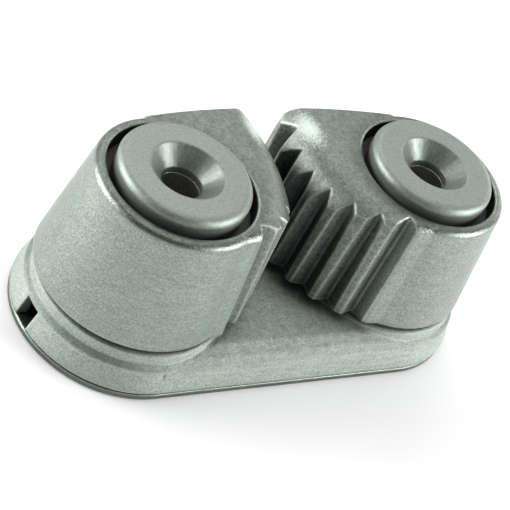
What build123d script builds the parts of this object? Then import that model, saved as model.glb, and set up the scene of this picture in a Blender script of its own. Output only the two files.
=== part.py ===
from build123d import *
import os
from math import sin, cos, radians, degrees, pi, atan2, hypot, sqrt

# ---------------------------------------------------------------------------
# Two-jaw cam cleat with ball bearings.  Millimetres, +Z up.
# Origin: underside of the bottom plate, midway between the two screw holes.
# +X runs along the row of screw holes, +Y towards the noses of the cams (the
# tail of the rope); the load pulls towards -Y.
# "Port" parts sit at -X, "starboard" parts are their mirror image at +X.
# ---------------------------------------------------------------------------

# --- main sizes
half_pitch = 19.0          # screw holes are 38 mm apart
screw_hole_r = 2.65        # clears a 5 mm countersunk screw

# --- bottom plate and base casting
plate_t = 1.0
plate_r = 14.2
base_end_r = 14.25         # end lobes, at the bottom
base_wall_top_z = 5.0      # where the lobe wall turns over
pad_r = 13.05              # round pad under each cam
pad_top_z = 6.8
base_draft = 0.70          # how far the lobe wall leans in
deck_top_z = 6.0
deck_shoulder_r = 3.0
roof_under_z = 3.7         # underside of the hollow casting
wall_t = 1.7
boss_r = 8.4
notch_y0, notch_y1 = -2.5, 0.3
notch_top_z = 4.35

# --- cams
cam_bot_z = 7.53
cam_top_z = 24.36
drum_bot_r, drum_bot_dx, drum_bot_dy = 13.0, -0.20, 0.35
drum_top_r = 10.95
drum_bevel = 0.85
jaw_r = 17.2               # circle through the tooth crests
jaw_cx, jaw_cy = 0.63, 4.8
crest_top_front = (6.30, -9.60)   # where the front crest ends at the top
strip_slope_bot, strip_slope_top = 0.10, 0.20
land_first, land_step, land_count = -65.0, 12.85, 8
groove_w, groove_d = 3.20, 1.50
nose_r = 1.25
round_h = 5.75             # height of the rolled-over top edge on the jaw side
# back wall of the jaw: height, y at x=0, y at x=16 (it swells below the top)
back_bow = 0.30            # how far the back wall bows out between them
back_edge_r = 1.2
back_wall = [(cam_bot_z, 13.45, 14.25), (13.5, 12.90, 14.25), (19.5, 12.20, 13.80), (cam_top_z, 11.45, 12.60)]
jaw_lap = 0.30             # how far the jaw laps into the drum
recess_r = 9.75
recess_floor_z = 21.4
race_r = 7.0               # ball bore in the cam
race_floor_z = 13.5
shelf_r = 4.95
cavity_r = 9.0             # spring cavity
cavity_top_z = 12.6

# --- fixed post through each cam
sleeve_r = 4.5
sleeve_top_z = 23.0
flange_r, flange_top_z = 6.5, 2.4
cap_r = 8.65
cap_under_z, cap_rim_z, cap_top_z = 22.2, 25.1, 26.1
cap_hub_r, cap_hub_z = 6.5, 21.15
csk_r = 4.8

# --- bearings
ball_r = 1.22
ball_pitch_r = 5.75
ball_count = 11
row_z = {"lower": 15.3, "upper": 19.35}

# --- spring, washer, shield, stop
spring_mean_r, wire_r = 8.05, 0.55
spring_z0, spring_turns, spring_rise = 8.15, 2.75, 1.30
leg_bot_deg, leg_up = -115.0, 1.7
washer_ri, washer_ro, washer_t = 9.15, 12.0, 0.70
shield_ri, shield_ro, shield_t = 6.9, 9.72, 0.5
stop_r, stop_pos_r, stop_deg = 1.0, 11.0, 38.0
stop_z0, stop_z1 = 4.5, 9.9
open_deg = 65.0            # travel of each cam
slot_gap = 0.10

os.makedirs("parts", exist_ok=True)


def pol(r, a, cx=0.0, cy=0.0):
    return (cx + r * cos(radians(a)), cy + r * sin(radians(a)))


def cyl(r, z0, z1, x=0.0, y=0.0):
    return Pos(x, y, z0) * Cylinder(r, z1 - z0, align=(Align.CENTER, Align.CENTER, Align.MIN))


def stadium(r, z0, z1):
    s = Pos(0, 0, z0) * extrude(SlotCenterToCenter(2 * half_pitch, 2 * r), z1 - z0)
    return s


def poly_prism(pts, z0, z1):
    f = make_face(Polyline(*pts, close=True))
    return Pos(0, 0, z0) * extrude(f, z1 - z0)


def one(shape):
    s = shape.solids()
    s = sorted(s, key=lambda q: -q.volume)
    return s[0]


def circle3(p, q, r):
    (x1, y1), (x2, y2), (x3, y3) = p, q, r
    d = 2 * (x1 * (y2 - y3) + x2 * (y3 - y1) + x3 * (y1 - y2))
    a, b, c = x1**2 + y1**2, x2**2 + y2**2, x3**2 + y3**2
    ux = (a * (y2 - y3) + b * (y3 - y1) + c * (y1 - y2)) / d
    uy = (a * (x3 - x2) + b * (x1 - x3) + c * (x2 - x1)) / d
    return ux, uy, hypot(x1 - ux, y1 - uy)


def turned_dome(rt, h, x, y):
    r2 = rt + h
    with BuildPart() as bp:
        with BuildSketch(Plane.XZ):
            with BuildLine():
                Line((0, cam_bot_z - 1), (r2, cam_bot_z - 1))
                Line((r2, cam_bot_z - 1), (r2, cam_top_z - h))
                ThreePointArc((r2, cam_top_z - h), (rt + h * sqrt(0.5), cam_top_z - h + h * sqrt(0.5)),
                              (rt, cam_top_z))
                Line((rt, cam_top_z), (0, cam_top_z))
                Line((0, cam_top_z), (0, cam_bot_z - 1))
            make_face()
        revolve(axis=Axis.Z)
    return Pos(x, y, 0) * bp.part


# ---------------------------------------------------------------------------
# Base
# ---------------------------------------------------------------------------
def make_plate():
    p = stadium(plate_r, 0, plate_t)
    p = chamfer(p.faces().sort_by(Axis.Z)[0].edges(), 0.15)
    for sx in (-1, 1):
        p -= cyl(screw_hole_r, -1, plate_t + 1, sx * half_pitch)
    return one(p)


def make_lobe():
    # turned profile of one end lobe with its raised pad
    r0, r1 = base_end_r, base_end_r - base_draft
    zs = base_wall_top_z
    with BuildPart() as bp:
        with BuildSketch(Plane.XZ):
            with BuildLine():
                Line((0, plate_t), (r0 - 0.22, plate_t))
                Line((r0 - 0.22, plate_t), (r0, plate_t + 0.25))
                Line((r0, plate_t + 0.25), (r1, zs - 0.95))
                RadiusArc((r1, zs - 0.95), (r1 - 0.34, zs - 0.14), -0.90)
                Line((r1 - 0.34, zs - 0.14), (pad_r + 0.02, zs - 0.04))
                RadiusArc((pad_r + 0.02, zs - 0.04), (pad_r - 0.22, zs + 0.34), 0.50)
                Line((pad_r - 0.22, zs + 0.34), (pad_r - 0.30, pad_top_z - 0.40))
                RadiusArc((pad_r - 0.30, pad_top_z - 0.40), (pad_r - 0.70, pad_top_z), -0.42)
                Line((pad_r - 0.70, pad_top_z), (0, pad_top_z))
                Line((0, pad_top_z), (0, plate_t))
            make_face()
        revolve(axis=Axis.Z)
    return bp.part


def make_base():
    # middle section: the same foot and draft as the lobes, then a broad shoulder
    z_sh = deck_top_z - deck_shoulder_r
    w_sh = base_end_r - base_draft * (z_sh - plate_t - 0.25) / (base_wall_top_z - 0.95 - plate_t - 0.25)
    R = deck_shoulder_r
    half = [(base_end_r - 0.22, plate_t), (base_end_r, plate_t + 0.25), (w_sh, z_sh)]
    arc_mid = (w_sh - R * (1 - sqrt(0.5)), z_sh + R * sqrt(0.5))
    top = (w_sh - R, deck_top_z)
    with BuildPart() as bp:
        with BuildSketch(Plane.YZ):
            with BuildLine():
                Polyline(*half)
                ThreePointArc(half[2], arc_mid, top)
                Line(top, (-top[0], top[1]))
                ThreePointArc((-top[0], top[1]), (-arc_mid[0], arc_mid[1]), (-half[2][0], half[2][1]))
                Polyline(*[(-a, b) for a, b in reversed(half)])
                Line((-half[0][0], half[0][1]), half[0])
            make_face()
        extrude(amount=half_pitch, both=True)
    mid = bp.part
    lobe = make_lobe()
    b = mid + Pos(-half_pitch, 0, 0) * lobe + Pos(half_pitch, 0, 0) * lobe
    # hollow underside
    inner = stadium(base_end_r - wall_t, plate_t - 1, roof_under_z)
    top_e = inner.faces().sort_by(Axis.Z)[-1].edges()
    inner = fillet(top_e, 0.8)
    for sx in (-1, 1):
        inner -= cyl(boss_r, plate_t - 2, roof_under_z + 1, sx * half_pitch)
    # two ribs along the middle section stiffen the floor
    for yy in (-6.0, 6.0):
        inner -= Pos(0, yy, plate_t + 0.0) * Box(2 * half_pitch - 2 * boss_r + 3.0, 1.6, 6.0)
    b -= inner
    for sx in (-1, 1):
        x = sx * half_pitch
        b -= cyl(flange_r + 0.06, plate_t - 1, flange_top_z + 0.03, x)
        b -= cyl(sleeve_r + 0.03, plate_t - 1, pad_top_z + 1, x)
        # drain and tool notch through each end wall
        n = Pos(sx * (half_pitch + base_end_r - 1.0), (notch_y0 + notch_y1) / 2, plate_t - 1) * \
            Box(4.6, notch_y1 - notch_y0, notch_top_z - plate_t + 1,
                align=(Align.CENTER, Align.CENTER, Align.MIN))
        b -= n
        # blind holes for the stop pin and for the spring's lower leg
        px, py = pol(stop_pos_r, stop_deg)
        b -= cyl(stop_r + 0.01, stop_z0 - 0.05, pad_top_z + 1, x - sx * px, py)
        lx, ly = pol(spring_mean_r, leg_bot_deg)
        b -= cyl(wire_r + 0.15, 4.8, pad_top_z + 1, x - sx * lx, ly)
    return one(b)


# ---------------------------------------------------------------------------
# Cam, in its own frame: pivot at the origin, x towards the rope channel
# ---------------------------------------------------------------------------
def make_cam():
    H = cam_top_z - cam_bot_z
    # tapered drum, its foot slightly off centre
    s0 = Pos(drum_bot_dx, drum_bot_dy, cam_bot_z) * Circle(drum_bot_r)
    s1 = Pos(0, 0, cam_top_z) * Circle(drum_top_r)
    drum = loft([s0, s1], ruled=True)
    drum = fillet(drum.faces().sort_by(Axis.Z)[-1].edges(), drum_bevel)

    # jaw: lofted between a plan at the foot and a plan at the top.  The crest
    # circle leans in towards the drum at its front end; a sloping strip leads
    # off the drum in front, and the back wall is bowed and sloping.
    ct = circle3(crest_top_front, pol(jaw_r - 0.25, -20.0, jaw_cx, jaw_cy),
                 pol(jaw_r + 0.35, 26.0, jaw_cx, jaw_cy))

    def plan(z, circ, D, slope, ya, yb):
        cx, cy, r = circ
        # front end of the crest arc: where the strip meets the circle
        bx, by = D[0] - cx, D[1] - cy
        k = 1 / sqrt(1 + slope * slope)
        dx, dy = k, slope * k
        bq = bx * dx + by * dy
        t = -bq + sqrt(bq * bq - (bx * bx + by * by - r * r))
        C = (D[0] + t * dx, D[1] + t * dy)
        # back end: where the back wall's chord meets the circle
        sl = (yb - ya) / 16.0
        bx, by = 0 - cx, ya - cy
        k = 1 / sqrt(1 + sl * sl)
        dx, dy = k, sl * k
        bq = bx * dx + by * dy
        t = -bq + sqrt(bq * bq - (bx * bx + by * by - r * r))
        N = (t * dx, ya + t * dy)
        a0 = degrees(atan2(C[1] - cy, C[0] - cx))
        a1 = degrees(atan2(N[1] - cy, N[0] - cx))
        M = pol(r, (a0 + a1) / 2, cx, cy)
        W = (N[0] / 2, (ya + N[1]) / 2 + back_bow)
        with BuildSketch(Plane.XY.offset(z)) as sk:
            with BuildLine():
                Line((0, 0), D)
                Line(D, C)
                ThreePointArc(C, M, N)
                ThreePointArc(N, W, (0, ya))
                Line((0, ya), (0, 0))
            make_face()
            nv = sk.vertices().sort_by_distance((N[0], N[1], z))[0]
            fillet(nv, nose_r)
        return sk.sketch

    Db, Dt = pol(12.15, -69.0), pol(10.75, -69.0)
    secs = []
    for z, ya, yb in back_wall:
        t = (z - cam_bot_z) / H
        circ = tuple(p + (q - p) * t for p, q in zip((jaw_cx, jaw_cy, jaw_r), ct))
        D = (Db[0] + (Dt[0] - Db[0]) * t, Db[1] + (Dt[1] - Db[1]) * t)
        slope = strip_slope_bot + (strip_slope_top - strip_slope_bot) * t
        secs.append(plan(z, circ, D, slope, ya, yb))
    jaw = one(loft(secs))
    # the drum is cleared where the jaw takes over, a little inside the jaw's faces
    k = (cam_top_z + 1.0 - cam_bot_z) / H
    Du = (Db[0] + (Dt[0] - Db[0]) * k, Db[1] + (Dt[1] - Db[1]) * k)
    q = jaw_lap
    lo = [(q, q), (Db[0] + 1.6 * q, Db[1] + 1.5 * q), (Db[0] + 20, Db[1] + 1.5 * q + 20 * strip_slope_bot),
          (30, 24), (q, 24)]
    hi = [(q, q), (Du[0] + 1.6 * q, Du[1] + 1.5 * q), (Du[0] + 20, Du[1] + 1.5 * q + 20 * strip_slope_top),
          (30, 24), (q, 24)]
    wedge = loft([Pos(0, 0, cam_bot_z) * make_face(Polyline(*lo, close=True)),
                  Pos(0, 0, cam_top_z + 1.0) * make_face(Polyline(*hi, close=True))], ruled=True)

    # top edge of the back wall
    te = [e for e in jaw.edges() if abs(e.center().Z - cam_top_z) < 1e-3
          and e.center().Y > back_wall[-1][1] - 0.2 and e.center().X < 15.0
          and e.bounding_box().size.Z < 1e-3 and e.length > 5]
    jaw = one(fillet(te, back_edge_r))

    # rolled-over top edge: a turned dome whose flat top meets the crests' ends
    dx, dy, rt = circle3((crest_top_front[0] - 0.25, crest_top_front[1] + 0.40),
                         pol(jaw_r - 5.8, -8.0, jaw_cx, jaw_cy),
                         pol(jaw_r - 4.7, 24.0, jaw_cx, jaw_cy))
    dome = turned_dome(rt, round_h, dx, dy)
    jaw = one(jaw & dome)
    body = one(one(drum - wedge) + jaw)

    # V grooves between the teeth, the front two leaning with the crests
    for k in range(land_count - 1):
        a = land_first + land_step * (k + 0.5)
        lean, turn = {0: (1.45, -1.3), 1: (0.5, -0.4), 2: (0.15, 0.0)}.get(k, (0.0, 0.0))
        if k == 0:
            a -= 0.7
        g = []
        for z, t in ((cam_bot_z - 1.0, -1 / H), (cam_top_z + 1.0, 1 + 1 / H)):
            ex = 1.8
            hw = groove_w / 2
            r0 = jaw_r - lean * t
            v = [(r0 - groove_d, 0.0), (r0 + ex, hw * (groove_d + ex) / groove_d),
                 (r0 + ex, -hw * (groove_d + ex) / groove_d)]
            g.append(Pos(jaw_cx, jaw_cy, z) * Rot(0, 0, a + turn * t) * make_face(Polyline(*v, close=True)))
        body -= loft(g, ruled=True)
    body = one(body)

    # bores
    body -= cyl(recess_r, recess_floor_z, cam_top_z + 2)
    body -= cyl(race_r, race_floor_z, recess_floor_z + 1)
    body -= cyl(shelf_r, cavity_top_z - 1, race_floor_z + 1)
    body -= cyl(cavity_r, cam_bot_z - 1, cavity_top_z)
    # arc slot for the stop pin
    ri, ro = stop_pos_r - stop_r - slot_gap, stop_pos_r + stop_r + slot_gap
    half = (stop_r + slot_gap)
    aa, ab = stop_deg - open_deg, stop_deg
    with BuildSketch() as ss:
        with BuildLine():
            ThreePointArc(pol(ro, aa), pol(ro, (aa + ab) / 2), pol(ro, ab))
            ThreePointArc(pol(ro, ab), (pol(stop_pos_r, ab)[0] - half * sin(radians(ab)),
                                        pol(stop_pos_r, ab)[1] + half * cos(radians(ab))), pol(ri, ab))
            ThreePointArc(pol(ri, ab), pol(ri, (aa + ab) / 2), pol(ri, aa))
            ThreePointArc(pol(ri, aa), (pol(stop_pos_r, aa)[0] + half * sin(radians(aa)),
                                        pol(stop_pos_r, aa)[1] - half * cos(radians(aa))), pol(ro, aa))
        make_face()
    body -= Pos(0, 0, cam_bot_z - 1) * extrude(ss.sketch, stop_z1 + 0.4 - cam_bot_z + 1)
    # hole for the spring's upper leg
    ux_, uy_ = pol(spring_mean_r, leg_top_deg)
    body -= cyl(wire_r + 0.15, cavity_top_z - 1, cavity_top_z + leg_up + 0.2, ux_, uy_)
    return one(body)


leg_top_deg = leg_bot_deg + 360.0 * spring_turns


# ---------------------------------------------------------------------------
# Post, cap, bearings, spring and small parts, in the pivot's frame
# ---------------------------------------------------------------------------
def make_sleeve():
    s = cyl(sleeve_r, plate_t, sleeve_top_z) + cyl(flange_r, plate_t, flange_top_z)
    s -= cyl(screw_hole_r, 0, sleeve_top_z + 1)
    e = [q for q in s.edges() if abs(q.center().Z - sleeve_top_z) < 1e-3 and q.length > 2 * pi * 4]
    s = chamfer(e, 0.3)
    return one(s)


def make_cap():
    with BuildPart() as bp:
        with BuildSketch(Plane.XZ):
            with BuildLine():
                Line((screw_hole_r, sleeve_top_z + 0.02), (screw_hole_r, cap_top_z - (csk_r - screw_hole_r)))
                Line((screw_hole_r, cap_top_z - (csk_r - screw_hole_r)), (csk_r - 0.06, cap_top_z - 0.06))
                Line((csk_r - 0.06, cap_top_z - 0.06), (csk_r + 0.10, cap_top_z))
                Line((csk_r + 0.10, cap_top_z), (cap_r - 1.05, cap_top_z))
                RadiusArc((cap_r - 1.05, cap_top_z), (cap_r, cap_rim_z - 0.05), 1.05)
                Line((cap_r, cap_rim_z - 0.05), (cap_r - 0.10, cap_under_z + 0.25))
                Line((cap_r - 0.10, cap_under_z + 0.25), (cap_r - 0.35, cap_under_z))
                Line((cap_r - 0.35, cap_under_z), (cap_hub_r, cap_under_z))
                Line((cap_hub_r, cap_under_z), (cap_hub_r, cap_hub_z))
                Line((cap_hub_r, cap_hub_z), (sleeve_r + 0.02, cap_hub_z))
                Line((sleeve_r + 0.02, cap_hub_z), (sleeve_r + 0.02, sleeve_top_z + 0.02))
                Line((sleeve_r + 0.02, sleeve_top_z + 0.02), (screw_hole_r, sleeve_top_z + 0.02))
            make_face()
        revolve(axis=Axis.Z)
    return one(bp.part)


def ball_places(z):
    return [(*pol(ball_pitch_r, 360.0 * i / ball_count), z) for i in range(ball_count)]


def make_balls(z, cx):
    return [Pos(cx + p[0], p[1], p[2]) * Sphere(ball_r) for p in ball_places(z)]


def make_cage(z):
    c = cyl(6.45, z - 1.45, z + 0.55) - cyl(5.05, z - 2.5, z + 1.5)
    for p in ball_places(z):
        c -= Pos(*p) * Sphere(ball_r + 0.06)
    return one(c)


def make_spring():
    m = spring_mean_r
    h = spring_turns * spring_rise
    helix = Pos(0, 0, spring_z0) * Rot(0, 0, leg_bot_deg) * Helix(pitch=spring_rise, height=h, radius=m)
    st = helix @ 0
    tg = helix % 0
    prof = Plane(origin=st, z_dir=tg) * Circle(wire_r)
    coil = sweep(prof, path=helix, is_frenet=True)
    en = helix @ 1
    a = cyl(wire_r, 5.2, spring_z0, st.X, st.Y) + Pos(st.X, st.Y, spring_z0) * Sphere(wire_r)
    b = cyl(wire_r, en.Z, cavity_top_z + leg_up, en.X, en.Y) + Pos(en.X, en.Y, en.Z) * Sphere(wire_r)
    return one(coil + a + b)


def make_washer():
    w = cyl(washer_ro, pad_top_z, pad_top_z + washer_t) - cyl(washer_ri, pad_top_z - 1, pad_top_z + 2)
    w -= cyl(stop_r + 0.05, pad_top_z - 1, pad_top_z + 2, *pol(stop_pos_r, stop_deg))
    return one(w)


def make_shield():
    s = cyl(shield_ro, recess_floor_z, recess_floor_z + shield_t) - \
        cyl(shield_ri, recess_floor_z - 1, recess_floor_z + 2)
    return one(s)


def make_stop():
    p = cyl(stop_r, stop_z0, stop_z1, *pol(stop_pos_r, stop_deg))
    p = chamfer(p.edges().sort_by(Axis.Z)[-1], 0.2)
    return one(p)


# ---------------------------------------------------------------------------
nodes = {}
nodes["bottom_plate"] = [make_plate()]
nodes["base_body"] = [make_base()]

local = {
    "cam": [make_cam()],
    "cap": [make_cap()],
    "sleeve": [make_sleeve()],
    "upper_cage": [make_cage(row_z["upper"])],
    "lower_cage": [make_cage(row_z["lower"])],
    "upper_balls": make_balls(row_z["upper"], 0.0),
    "lower_balls": make_balls(row_z["lower"], 0.0),
    "spring": [make_spring()],
    "thrust_washer": [make_washer()],
    "dust_shield": [make_shield()],
    "stop_pin": [make_stop()],
}
for name, solids in local.items():
    port = [Pos(-half_pitch, 0, 0) * s for s in solids]
    nodes["port_" + name] = port
    nodes["starboard_" + name] = [s.mirror(Plane.YZ) for s in port]

for name, solids in nodes.items():
    shape = solids[0] if len(solids) == 1 else Compound(children=list(solids))
    export_step(shape, os.path.join("parts", name + ".step"))
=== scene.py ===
import math
from functools import cached_property

import bmesh
import bpy
from mathutils import Matrix, Vector


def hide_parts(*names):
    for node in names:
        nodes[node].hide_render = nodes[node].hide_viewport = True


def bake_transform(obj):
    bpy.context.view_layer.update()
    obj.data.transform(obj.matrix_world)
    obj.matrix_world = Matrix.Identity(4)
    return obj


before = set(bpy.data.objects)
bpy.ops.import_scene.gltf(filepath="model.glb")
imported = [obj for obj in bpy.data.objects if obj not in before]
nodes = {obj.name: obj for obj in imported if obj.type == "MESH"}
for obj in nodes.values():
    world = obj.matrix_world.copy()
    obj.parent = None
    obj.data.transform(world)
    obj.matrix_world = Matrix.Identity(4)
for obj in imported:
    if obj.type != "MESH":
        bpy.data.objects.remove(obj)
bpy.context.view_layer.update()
scene = bpy.context.scene
scene.view_settings.view_transform = "Standard"
scene.view_settings.look = "None"

PIVOT = 0.019                                  # from the middle to each post
SIDES = (("port", -1), ("starboard", 1))       # name, sign of x


# ---------------------------------------------------------------------------
# Node helpers
# ---------------------------------------------------------------------------
class Signal:
    """A node's output. Arithmetic on it adds Math nodes."""

    def __init__(self, tree, socket):
        self.tree = tree
        self.socket = socket

    def __add__(self, other):
        return self.tree.math("ADD", self, other)

    def __radd__(self, other):
        return self.tree.math("ADD", other, self)

    def __sub__(self, other):
        return self.tree.math("SUBTRACT", self, other)

    def __rsub__(self, other):
        return self.tree.math("SUBTRACT", other, self)

    def __mul__(self, other):
        return self.tree.math("MULTIPLY", self, other)

    def __abs__(self):
        return self.tree.math("ABSOLUTE", self)

    def ramp(self, span, to=(0.0, 1.0)):
        """Maps the span onto the range `to`, held at both ends."""
        inputs = dict(enumerate((self, *span, *to)))
        return self.tree.add("ShaderNodeMapRange", inputs, clamp=True)


class Nodes:
    """Builds a node tree from nothing."""

    def __init__(self, tree):
        self.tree = tree
        tree.nodes.clear()

    def put(self, socket, value):
        """Links a signal to an input, or sets its value; colours are (r, g, b)."""
        if isinstance(value, Signal):
            self.tree.links.new(value.socket, socket)
        elif socket.type == "RGBA":
            socket.default_value = (*value, 1.0)
        else:
            socket.default_value = value

    def add(self, kind, inputs, output=0, **settings):
        """Adds a node and gives one of its outputs."""
        node = self.tree.nodes.new(kind)
        for name, value in settings.items():
            setattr(node, name, value)
        for key, value in inputs.items():
            self.put(node.inputs[key], value)
        return Signal(self, node.outputs[output])

    def close(self, kind, shader):
        """Adds the output node that ends the tree."""
        self.put(self.tree.nodes.new(kind).inputs[0], shader)

    def math(self, operation, a, b=0.0, clamp=False):
        return self.add("ShaderNodeMath", {0: a, 1: b}, operation=operation, use_clamp=clamp)

    def clamped_sum(self, a, b):
        return self.math("ADD", a, b, clamp=True)

    def vector_math(self, operation, a, b=(0, 0, 0)):
        output = "Value" if operation in ("DOT_PRODUCT", "LENGTH") else 0
        return self.add("ShaderNodeVectorMath", {0: a, 1: b}, output, operation=operation)

    def split(self, vector):
        x = self.add("ShaderNodeSeparateXYZ", {0: vector})
        return [Signal(self, socket) for socket in x.socket.node.outputs]

    def join(self, x, y, z):
        return self.add("ShaderNodeCombineXYZ", {0: x, 1: y, 2: z})


class Surface(Nodes):
    """A material with one Principled BSDF."""

    def __init__(self, name):
        self.material = bpy.data.materials.new(name)
        self.material.use_nodes = True
        super().__init__(self.material.node_tree)

    @cached_property
    def position(self):
        return self.add("ShaderNodeTexCoord", {}, "Object")

    @cached_property
    def normal(self):
        return self.add("ShaderNodeNewGeometry", {}, "Normal")

    @cached_property
    def normal_z(self):
        return self.split(self.normal)[2]

    def noise(self, scale, detail=4.0, roughness=0.55, vector=None, distortion=0.0):
        return self.add("ShaderNodeTexNoise", {
            "Vector": vector or self.position, "Scale": scale, "Detail": detail,
            "Roughness": roughness, "Distortion": distortion})

    def stretched_noise(self, stretch, detail=2.0, roughness=0.5):
        """Noise with its own scale along x, y and z."""
        vector = self.vector_math("MULTIPLY", self.position, stretch)
        return self.noise(1.0, detail, roughness, vector)

    def cells(self, scale):
        inputs = {"Vector": self.position, "Scale": scale}
        return self.add("ShaderNodeTexVoronoi", inputs, "Distance")

    def mix(self, factor, a, b, blend="MIX"):
        return self.add("ShaderNodeMix", {0: factor, 6: a, 7: b}, 2,
                        data_type="RGBA", blend_type=blend)

    def shade(self, colour, tone):
        return self.mix(1.0, colour, self.join(tone, tone, tone), "MULTIPLY")

    def where(self, mask, tone):
        """The tone inside the mask, and 1 outside it."""
        return self.add("ShaderNodeMix", {0: mask, 2: 1.0, 3: tone}, data_type="FLOAT")

    def openness(self, distance):
        """Ambient occlusion: 1 in the open, 0 in a closed corner."""
        return self.add("ShaderNodeAmbientOcclusion", {"Distance": distance}, "AO", samples=8)

    def edge(self, radius, span=(0.02, 0.22)):
        """A mask of the edges narrower than radius, and the rounded normal."""
        rounded = self.add("ShaderNodeBevel", {"Radius": radius}, samples=6)
        return (1.0 - self.vector_math("DOT_PRODUCT", rounded, self.normal)).ramp(span), rounded

    def bumps(self, normal, *layers):
        """Bumps laid on a normal in turn. A layer is (height, depth, strength)."""
        for height, depth, strength in layers:
            inputs = {"Strength": strength, "Distance": depth, "Height": height}
            if normal is not None:
                inputs["Normal"] = normal
            normal = self.add("ShaderNodeBump", inputs)
        return normal

    def from_axis(self, axis_x):
        """x, y, z and radius from the vertical line through (axis_x, 0)."""
        x, y, z = self.split(self.position)
        x = x - axis_x
        return x, y, z, self.math("SQRT", x * x + y * y)

    def polar(self, axis_x):
        """Angle, radius and z about the same line."""
        x, y, z, radius = self.from_axis(axis_x)
        return self.math("ARCTAN2", y, x), radius, z

    def finish(self, colour, roughness, normal, metallic=0.0, extra=None):
        shader = self.add("ShaderNodeBsdfPrincipled", {
            "Base Color": colour, "Metallic": metallic, "Roughness": roughness,
            "Normal": normal, **(extra or {})})
        self.close("ShaderNodeOutputMaterial", shader)
        return self.material


def scaled(colour, factor):
    return tuple(min(1.0, c * factor) for c in colour)


def grey(value):
    """The slightly green grey of the alloy."""
    return scaled((0.875, 1.0, 0.90), value)


# ---------------------------------------------------------------------------
# Material recipes. Each mixes a dark and a light tone, then lays on worn edges (worn), which on
# the metals also paint in edge highlights, and darker crevices, which on the metals are painted
# shade.
# ---------------------------------------------------------------------------
FALL = (1.0, 0.0)          # turns a ramp upside down


def finishing_lines(m, axis_x):
    """Fine lines, round the axis or, without one, along x. A larger factor packs them closer."""
    if axis_x is None:
        x, y, z = m.split(m.position)
        close = m.join(x * 240.0, y * 900.0, z * 3300.0)
        broad = m.join(x * 420.0, y * 500.0, z * 1300.0)
    else:
        angle, radius, z = m.polar(axis_x)
        close = m.join(angle * 3.12, z * 3300.0, radius * 400.0)
        broad = m.join((angle + z * 14.0) * 6.24, z * 1500.0, radius * 300.0)
    close = m.noise(1.0, detail=3.0, roughness=0.6, vector=close)
    broad = m.noise(1.0, detail=3.0, roughness=0.6, vector=broad, distortion=0.3)
    return close * 0.6 + broad * 0.4


def cam_zones(m, axis_x, top):
    """Masks of a cam's top rim and of the as-cast jaw outside its turned, tapering drum."""
    _, _, z, radius = m.from_axis(axis_x)
    rim = z.ramp((0.0232, 0.0237)) * radius.ramp((0.0108, 0.0121), to=FALL)
    drum_radius = 0.0130 - (z - 0.00753) * 0.1218
    jaw = (radius - drum_radius).ramp((0.00040, 0.00075)) * (1.0 - top)
    return rim, jaw


def painted_nose_highlight(m, centre, fine):
    """Mask of a painted highlight on the rolled edge near a cam's nose."""
    # one over the half-length of the spot along x, y and z
    spread = (400, 185, 330)
    offset = m.vector_math("MULTIPLY", m.vector_math("SUBTRACT", m.position, centre), spread)
    near = m.vector_math("LENGTH", offset).ramp((0.25, 1.0), to=FALL)
    return near * (fine * 0.7 + near * 0.36).ramp((0.44, 0.62))


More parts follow.
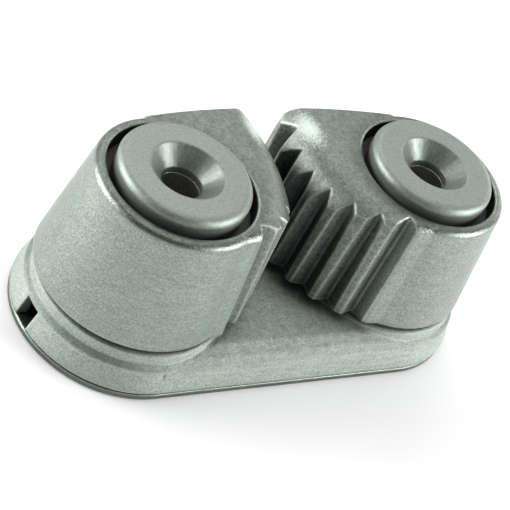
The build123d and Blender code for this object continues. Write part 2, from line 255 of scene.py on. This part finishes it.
def cast_metal(name, light, dark, worn, crevice_shade, roughness, metallic=0.85, streak=1.0, blotch=1.0,
               grain=1.0, pits=0.5, crevice_shade_reach=0.004, crevice_shade_amount=0.6, edge_radius=0.0005,
               edge_wear_and_highlight=0.8, painted_top_tone=1.0, painted_shoulder_shade=None, axis_x=None, nose_highlight_centre=None):
    """Satin cast alloy: mottling, grain, finishing lines on the walls, worn edges that also paint
    in edge highlights, painted shade in crevices, and painted light and shade on the faces turned
    up and on the leaning shoulders.
    axis_x and the centre of a painted highlight near the nose are given for a cam."""
    m = Surface(name)
    is_cam = axis_x is not None
    top = m.normal_z.ramp((0.35, 0.85))
    wall = 1.0 - abs(m.normal_z).ramp((0.35, 0.8))
    lines = finishing_lines(m, axis_x)
    big = m.noise(130.0, detail=3.0)
    middle = m.noise(620.0, detail=5.0, roughness=0.62, distortion=0.4)
    fine = m.noise(4300.0, roughness=0.7)
    specks = m.cells(3300.0).ramp((0.05, 0.32), to=FALL)
    specks = specks * m.noise(900.0, detail=2.0).ramp((0.48, 0.62))

    mottle = big * 0.35 + middle * (0.40 * blotch) + fine * (0.30 * grain)
    mottle = mottle + lines * wall * (0.30 * streak)
    centre = 0.5 * (0.35 + 0.40 * blotch + 0.30 * grain)
    colour = m.mix(mottle.ramp((centre - 0.20, centre + 0.34)), dark, light)
    colour = m.mix(specks * (0.45 * pits), colour, scaled(dark, 0.45))

    # salt-and-pepper grain, coarser and blotchier on the tops
    tone = fine.ramp((0.30, 0.70), to=(1.0 - 0.40 * grain, 1.0 + 0.34 * grain))
    blotches = m.noise(1150.0, detail=3.0, roughness=0.65, distortion=0.6)
    blotches = blotches.ramp((0.30, 0.70), to=(1.0 - 0.24 * blotch, 1.0 + 0.20 * blotch))
    tone = tone * m.where(top, blotches)
    # painted light and shade on the faces turned up: lighter on the base's deck, darker on the
    # cams' tops
    tone = tone * m.where(top, painted_top_tone)
    tone = tone * (1.0 + (lines - 0.5) * wall * (0.45 * streak))
    if painted_shoulder_shade is not None:
        # painted shade on the faces that lean between wall and top
        leaning = m.normal_z.ramp((0.20, 0.55)) * m.normal_z.ramp((0.84, 0.98), to=FALL)
        tone = tone * m.where(leaning, painted_shoulder_shade)
    if is_cam:
        # painted shade: darker where the cam is closed in, most in the rope channel between the
        # jaws
        tone = tone * m.openness(0.016).ramp((0.30, 0.74), to=(0.45, 1.0))
        rim, jaw = cam_zones(m, axis_x, top)
        tone = tone * m.where(rim, 0.80)
        skin = m.noise(2100.0, roughness=0.7).ramp((0.34, 0.66), to=(0.48, 0.98))
        tone = tone * m.where(jaw, skin)
    colour = m.shade(colour, tone)
    if is_cam:
        # painted highlight on the rolled edge near the nose, in the light worn grey
        colour = m.mix(painted_nose_highlight(m, nose_highlight_centre, fine) * 0.85, colour, worn)

    # worn edges, which also paint in highlights along the sharp edges and tooth crests
    edge, normal = m.edge(edge_radius, span=(0.004, 0.05))
    edge = edge * (middle * 0.6 + fine * 0.4).ramp((0.30, 0.56), to=(0.35, 1.0))
    edge = edge * m.openness(0.0009).ramp((0.45, 0.80)) * edge_wear_and_highlight
    # painted shade: darker in crevices and in the grooves between the teeth
    crevice = m.openness(crevice_shade_reach).ramp((0.46, 0.90), to=FALL) * crevice_shade_amount
    colour = m.mix(crevice, colour, crevice_shade)
    colour = m.mix(edge, colour, worn)

    rough = (roughness - 0.10) + middle * 0.14 + fine * 0.08 + specks * 0.10 - edge * 0.10
    rough = m.clamped_sum(rough, crevice * 0.15)
    if is_cam:
        rough = m.clamped_sum(rough - rim * 0.16, jaw * 0.10)

    normal = m.bumps(
        normal,
        (big, 0.00022, 0.5),
        (middle, 0.00006 * blotch, 0.9),
        (lines * wall, 0.000012 * streak, 0.8),
        (m.cells(1500.0).ramp((0.0, 0.35)), 0.00002 * pits, 0.7),
        (fine, 0.000050 * grain, 1.0))
    if is_cam:
        normal = m.bumps(normal, (skin * jaw, 0.00010, 0.8))
    return m.finish(colour, rough, normal, metallic)


def turned_metal(name, light, dark, worn, crevice_shade, axis_x, roughness, metallic, edge_wear_and_highlight=0.7,
                 sink_radius=None):
    """Turned metal: fine rings round the axis under a soft grain, and a countersink if given."""
    m = Surface(name)
    angle, radius, z = m.polar(axis_x)
    rings = m.join(radius * 5200.0, z * 5200.0, angle * 1.2)
    rings = m.noise(1.0, detail=3.0, roughness=0.6, vector=rings)
    middle = m.noise(700.0, roughness=0.6)
    big = m.noise(170.0, detail=3.0, roughness=0.5)
    fine = m.noise(3800.0, roughness=0.7)
    nicks = m.cells(700.0).ramp((0.03, 0.16), to=FALL) * big.ramp((0.50, 0.62))

    mottle = rings * 0.22 + middle * 0.30 + (big * 0.22 + fine * 0.30)
    colour = m.mix(mottle.ramp((0.32, 0.72)), dark, light)
    colour = m.mix(nicks * 0.35, colour, scaled(dark, 0.5))
    # worn edges, which also paint in thin highlights along the rims
    edge, normal = m.edge(0.0003)
    edge = edge * middle.ramp((0.32, 0.6), to=(0.3, 1.0))
    edge = edge * m.openness(0.0008).ramp((0.45, 0.8)) * edge_wear_and_highlight
    # painted shade: darker in crevices
    crevice = m.openness(0.0025).ramp((0.2, 0.9), to=FALL) * 0.5
    colour = m.mix(crevice, colour, crevice_shade)
    colour = m.mix(edge, colour, worn)
    colour = m.shade(colour, fine.ramp((0.30, 0.70), to=(0.80, 1.18)))

    rough = (roughness - 0.08) + middle * 0.10
    if sink_radius is not None:
        # the countersink is smoother, with chatter marks running down it; their dark streaks are
        # partly painted shade
        cone = radius.ramp((sink_radius - 0.0001, sink_radius + 0.0001), to=FALL)
        cone = cone * m.normal_z.ramp((0.2, 0.6)) * m.normal_z.ramp((0.90, 0.97), to=FALL)
        chatter_and_shade = m.join(angle * 9.0, radius * 900.0, 0.0)
        chatter_and_shade = m.noise(1.0, detail=2.0, roughness=0.6, vector=chatter_and_shade)
        chatter_and_shade = cone * chatter_and_shade.ramp((0.35, 0.65), to=(0.45, 0.0))
        colour = m.mix(chatter_and_shade, colour, scaled(dark, 0.6))
        rough = rough - cone * 0.12
    rough = m.clamped_sum(rough + rings * 0.06 - edge * 0.08, crevice * 0.15)

    normal = m.bumps(
        normal,
        (big, 0.00008, 0.4),
        (rings, 0.000012, 0.8),
        (middle + nicks * -1.2, 0.00003, 0.7),
        (fine, 0.000022, 1.0))
    return m.finish(colour, rough, normal, metallic)


def moulded(name, light, dark, worn, roughness):
    """Moulded plastic: fine grain, flow marks, scuffs, rubbed edges and dusty corners."""
    m = Surface(name)
    big = m.noise(240.0, detail=3.0, roughness=0.5, distortion=0.8)
    middle = m.noise(1300.0, roughness=0.6)
    scuffs = m.stretched_noise((900.0, 4200.0, 1500.0))
    colour = m.mix((big * 0.6 + middle * 0.4).ramp((0.35, 0.65)), dark, light)
    colour = m.mix(scuffs.ramp((0.62, 0.80), to=(0.0, 0.35)), colour, worn)
    edge, normal = m.edge(0.00018)
    colour = m.mix(edge * middle.ramp((0.35, 0.6), to=(0.2, 0.75)), colour, worn)
    dust = m.openness(0.0015).ramp((0.2, 0.8), to=(0.30, 0.0))
    colour = m.mix(dust, colour, (0.23, 0.235, 0.225))
    rough = m.clamped_sum((roughness - 0.08) + middle * 0.18, dust * 0.4)
    normal = m.bumps(
        normal,
        (big, 0.00006, 0.4),
        (m.cells(4200.0), 0.00002, 0.8),
        (middle, 0.00003, 0.6))
    return m.finish(colour, rough, normal)


def polished(name, light, dark, roughness, scratch_scale=1.0):
    """Hardened steel: near-mirror, with fine crossed scratches and a faint tarnish."""
    m = Surface(name)
    along_x = m.stretched_noise((700.0 * scratch_scale, 9000.0, 5200.0))
    along_y = m.stretched_noise((9000.0, 800.0 * scratch_scale, 2600.0))
    scratches = m.math("MAXIMUM", along_x.ramp((0.60, 0.74)), along_y.ramp((0.62, 0.76)))
    tarnish = m.noise(420.0, detail=3.0, roughness=0.6)
    middle = m.noise(1900.0, detail=3.0, roughness=0.6)
    colour = m.mix(tarnish.ramp((0.35, 0.65)), dark, light)
    colour = m.mix(scratches * 0.4, colour, scaled(light, 1.3))
    edge, normal = m.edge(0.00016)
    colour = m.mix(edge * 0.5, colour, scaled(light, 1.2))
    # darker in the corners
    darker_in_corners = m.openness(0.0012).ramp((0.2, 0.8), to=(0.5, 0.0))
    colour = m.mix(darker_in_corners, colour, (0.10, 0.10, 0.09))
    rough = m.clamped_sum(roughness + middle * 0.10, scratches * 0.12)
    normal = m.bumps(normal, (middle, 0.000010, 0.5), (scratches, 0.000005, 0.6))
    return m.finish(colour, rough, normal, metallic=1.0)


# ---------------------------------------------------------------------------
# Finishes of the pieces
# ---------------------------------------------------------------------------
def paint(node_name, material):
    """The material takes every slot the piece has."""
    piece = nodes[node_name]
    if not piece.material_slots:
        piece.data.materials.append(material)
    for slot in piece.material_slots:
        slot.material = material


def cam_alloy(side, sign):
    return cast_metal(
        side + "_cam_alloy", light=grey(0.385), dark=grey(0.28), worn=grey(0.84),
        crevice_shade=grey(0.022), roughness=0.37, crevice_shade_reach=0.0028, crevice_shade_amount=0.90, painted_top_tone=0.70,
        edge_radius=0.0006, edge_wear_and_highlight=0.48, axis_x=sign * PIVOT,
        nose_highlight_centre=(sign * 0.0046, 0.0088, 0.0229))


def cap_alloy(side, sign):
    return turned_metal(
        side + "_cap_alloy", light=grey(0.33), dark=grey(0.265), worn=grey(0.80),
        crevice_shade=grey(0.05), axis_x=sign * PIVOT, roughness=0.48, metallic=0.70,
        sink_radius=0.0048, edge_wear_and_highlight=0.5)


def post_steel(side, sign):
    return turned_metal(
        side + "_post_steel", light=(0.62, 0.62, 0.60), dark=(0.46, 0.46, 0.45),
        worn=(0.8, 0.8, 0.78), crevice_shade=(0.30, 0.30, 0.28), axis_x=sign * PIVOT,
        roughness=0.30, metallic=0.85)


paint("base_body", cast_metal(
    "base_cast_alloy", light=grey(0.51), dark=grey(0.38), worn=grey(0.72), crevice_shade=grey(0.06),
    roughness=0.56, metallic=0.66, edge_wear_and_highlight=0.36, painted_top_tone=1.22, painted_shoulder_shade=0.52, streak=0.9,
    blotch=0.9, crevice_shade_reach=0.0035, crevice_shade_amount=0.62))
paint("bottom_plate", cast_metal(
    "plate_rolled_alloy", light=grey(0.26), dark=grey(0.17), worn=grey(0.50), crevice_shade=grey(0.02),
    roughness=0.38, metallic=0.95, streak=1.4, blotch=0.5, grain=0.6, pits=0.3,
    crevice_shade_reach=0.002, crevice_shade_amount=0.7))

pin_steel = polished("pin_steel", light=(0.66, 0.66, 0.64), dark=(0.50, 0.50, 0.49),
                     roughness=0.22)
ball_steel = polished("ball_steel", light=(0.80, 0.80, 0.79), dark=(0.66, 0.66, 0.65),
                      roughness=0.07, scratch_scale=1.6)
wire_steel = polished("spring_wire_steel", light=(0.56, 0.56, 0.55), dark=(0.34, 0.335, 0.32),
                      roughness=0.26, scratch_scale=0.8)
cage_plastic = moulded("bearing_plastic", light=(0.30, 0.31, 0.29), dark=(0.19, 0.20, 0.19),
                       worn=(0.46, 0.47, 0.45), roughness=0.46)
black_plastic = moulded("black_moulded_plastic", light=(0.045, 0.046, 0.044),
                        dark=(0.022, 0.023, 0.022), worn=(0.16, 0.16, 0.155), roughness=0.55)

for side, sign in SIDES:
    paint(side + "_cam", cam_alloy(side, sign))
    paint(side + "_cap", cap_alloy(side, sign))
    paint(side + "_sleeve", post_steel(side, sign))
    paint(side + "_stop_pin", pin_steel)
    for row in ("upper", "lower"):
        paint(f"{side}_{row}_balls", ball_steel)
        paint(f"{side}_{row}_cage", cage_plastic)
    paint(side + "_thrust_washer", black_plastic)
    paint(side + "_dust_shield", black_plastic)


# ---------------------------------------------------------------------------
# Springs: wire swept round the post
# ---------------------------------------------------------------------------
COIL_RADIUS_MM = 8.05
COIL_BOTTOM_MM = 8.15
COIL_PITCH_MM = 1.30
COIL_TURNS = 2.75
COIL_STEPS = 120
START_ANGLE = -115.0
# (degrees from the coil's start, z in mm): the lower leg and its turn into the coil
LOWER_LEG = ((0, 5.25), (0, 6.2), (0, 7.0), (0, 7.55), (0.6, 7.86), (2.2, 8.07))
# (degrees from the coil's end, mm above it): the turn into the upper leg
UPPER_TURN = ((-2.2, 0.08), (-0.6, 0.30), (0, 0.62), (0, 1.2))
UPPER_LEG_MM = (13.4, 14.25)                   # z of its last points
WIRE_RADIUS = 0.00054
WIRE_SIDES = 14


def spring_path(sign):
    """Centre line of a spring: lower leg, coil, upper leg. Angle 0 faces the rope channel."""
    def point(angle, z):
        x = COIL_RADIUS_MM * math.cos(math.radians(angle))
        y = COIL_RADIUS_MM * math.sin(math.radians(angle))
        return Vector((-sign * x * 0.001 + sign * PIVOT, y * 0.001, z * 0.001))

    sweep = 360.0 * COIL_TURNS
    rise = COIL_TURNS * COIL_PITCH_MM
    end_angle = START_ANGLE + sweep
    coil_top = COIL_BOTTOM_MM + rise
    path = [point(START_ANGLE + turn, z) for turn, z in LOWER_LEG]
    # the turns into the legs stand in for the coil's end points
    for i in range(2, COIL_STEPS - 1):
        t = i / COIL_STEPS
        path.append(point(START_ANGLE + sweep * t, COIL_BOTTOM_MM + rise * t))
    path += [point(end_angle + turn, coil_top + lift) for turn, lift in UPPER_TURN]
    path += [point(end_angle, z) for z in UPPER_LEG_MM]
    return path


def wire(name, path):
    """A round wire with domed ends, carried along without twist from an upright start."""
    tangents = []
    for i in range(len(path)):
        before = path[max(0, i - 1)]
        after = path[min(len(path) - 1, i + 1)]
        tangents.append((after - before).normalized())
    first, last = tangents[0], tangents[-1]
    vertices = []

    def ring(centre, tangent, across, radius):
        other = tangent.cross(across)
        for j in range(WIRE_SIDES):
            angle = 2 * math.pi * j / WIRE_SIDES
            spoke = across * math.cos(angle) + other * math.sin(angle)
            vertices.append(centre + spoke * radius)

    across = Vector((1, 0, 0))                 # square to the upright start
    dome = (0.25, 0.55, 0.85)                  # fractions of the way from tip to full radius
    for q in dome:
        inset = WIRE_RADIUS * (1 - math.cos((1 - q) * math.pi / 2)) * 0.5 * (1 - q)
        ring(path[0] + first * inset, first, across, WIRE_RADIUS * math.sin(q * math.pi / 2))
    for i, (centre, tangent) in enumerate(zip(path, tangents)):
        across = (across - tangent * across.dot(tangent)).normalized()
        if i == 0:
            centre = centre + first * WIRE_RADIUS * 0.5
        ring(centre, tangent, across, WIRE_RADIUS)
    for q in reversed(dome):
        outset = WIRE_RADIUS * 0.5 * math.cos(q * math.pi / 2) * 0.6
        ring(path[-1] + last * outset, last, across, WIRE_RADIUS * math.sin(q * math.pi / 2))

    starts = range(0, len(vertices), WIRE_SIDES)
    faces = []
    for a, b in zip(starts, starts[1:]):
        for j in range(WIRE_SIDES):
            k = (j + 1) % WIRE_SIDES
            faces.append((a + j, a + k, b + k, b + j))
    faces.append(tuple(reversed(range(WIRE_SIDES))))
    faces.append(tuple(range(starts[-1], starts[-1] + WIRE_SIDES)))

    mesh = bpy.data.meshes.new(name)
    mesh.from_pydata([tuple(v) for v in vertices], [], faces)
    mesh.validate()
    mesh.update()
    for polygon in mesh.polygons:
        polygon.use_smooth = True
    return mesh


def place(name, data):
    obj = bpy.data.objects.new(name, data)
    scene.collection.objects.link(obj)
    return obj


for side, sign in SIDES:
    name = side + "_spring_coil"
    spring = place(name, wire(name, spring_path(sign)))
    spring.data.materials.append(wire_steel)
    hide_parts(side + "_spring")
    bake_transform(spring)


# ---------------------------------------------------------------------------
# Floor, lights, world and camera
# ---------------------------------------------------------------------------
def floor_material():
    m = Surface("floor_pale")
    fine = m.noise(900.0, roughness=0.6)
    cloud = m.noise(6.0, detail=3.0, roughness=0.5).ramp((0.3, 0.7))
    colour = m.mix(cloud, (0.90, 0.905, 0.90), (0.93, 0.935, 0.93))
    return m.finish(
        colour, fine.ramp((0.3, 0.7), to=(0.75, 0.9)), m.bumps(None, (fine, 0.00002, 0.4)),
        extra={"Specular IOR Level": 0.2, "Emission Color": colour, "Emission Strength": 0.12})


def make_floor():
    mesh = bpy.data.meshes.new("floor")
    grid = bmesh.new()
    bmesh.ops.create_grid(grid, x_segments=8, y_segments=8, size=3.0)
    grid.to_mesh(mesh)
    grid.free()
    floor = place("floor", mesh)
    floor.location = (0, 0, -0.00002)
    mesh.materials.append(floor_material())


LIGHT_TARGET = Vector((0, 0, 0.014))
# name, place, width, height, watts
LIGHTS = (
    ("light_left", (-0.33, 0.21, 0.11), 0.28, 0.26, 2.2),
    ("light_right", (0.32, -0.26, 0.13), 0.24, 0.26, 2.0),
    ("light_right_back", (0.36, 0.14, 0.12), 0.18, 0.24, 0.3),
    ("light_back", (0.10, 0.40, 0.36), 0.50, 0.26, 0.9),
    ("light_top", (0.04, 0.04, 0.52), 0.34, 0.34, 0.55),
)


def make_light(name, location, width, height, watts):
    data = bpy.data.lights.new(name, "AREA")
    data.shape = "RECTANGLE"
    data.size = width
    data.size_y = height
    data.energy = watts
    light = place(name, data)
    light.location = location
    aim = LIGHT_TARGET - Vector(location)
    light.rotation_euler = aim.to_track_quat("-Z", "Y").to_euler()


def make_world():
    """The far side of the room (+x, +y) is bright, the side behind the camera dim."""
    world = bpy.data.worlds.new("studio")
    scene.world = world
    world.use_nodes = True
    w = Nodes(world.node_tree)
    x, y, _ = w.split(w.add("ShaderNodeTexCoord", {}, "Generated"))
    glow = w.add("ShaderNodeValToRGB", {0: (x + y).ramp((-1.4, 1.4))})
    dim, bright = glow.socket.node.color_ramp.elements
    dim.position = 0.05
    dim.color = (0.10, 0.10, 0.10, 1)
    bright.position = 0.75
    bright.color = (0.80, 0.80, 0.80, 1)
    w.close("ShaderNodeOutputWorld", w.add("ShaderNodeBackground", {0: glow, 1: 0.55}))


# World to view (x right, y down, z forward): a turn, as axis times radians, then a shift
VIEW_TURN = Vector((2.3357424964136464, -0.3313868068766902, 0.6907877212793085))
VIEW_SHIFT_MM = Vector((-1.9227011208529208, 5.712534666179722, 235.55244847320867))
CAMERA_LIFT_MM = 1.0


def make_camera():
    turn = Matrix.Rotation(VIEW_TURN.length, 3, VIEW_TURN.normalized())
    position = -(turn.transposed() @ VIEW_SHIFT_MM)
    position.z += CAMERA_LIFT_MM
    right, down, forward = turn
    axes = Matrix((right, -down, -forward)).transposed().to_4x4()
    data = bpy.data.cameras.new("camera")
    camera = place("camera", data)
    camera.matrix_world = Matrix.Translation(position / 1000) @ axes
    data.sensor_width = 36.0
    data.lens = 124.43027673
    data.clip_start = 0.01
    data.clip_end = 20.0
    scene.camera = camera


make_floor()
for entry in LIGHTS:
    make_light(*entry)
make_world()
make_camera()
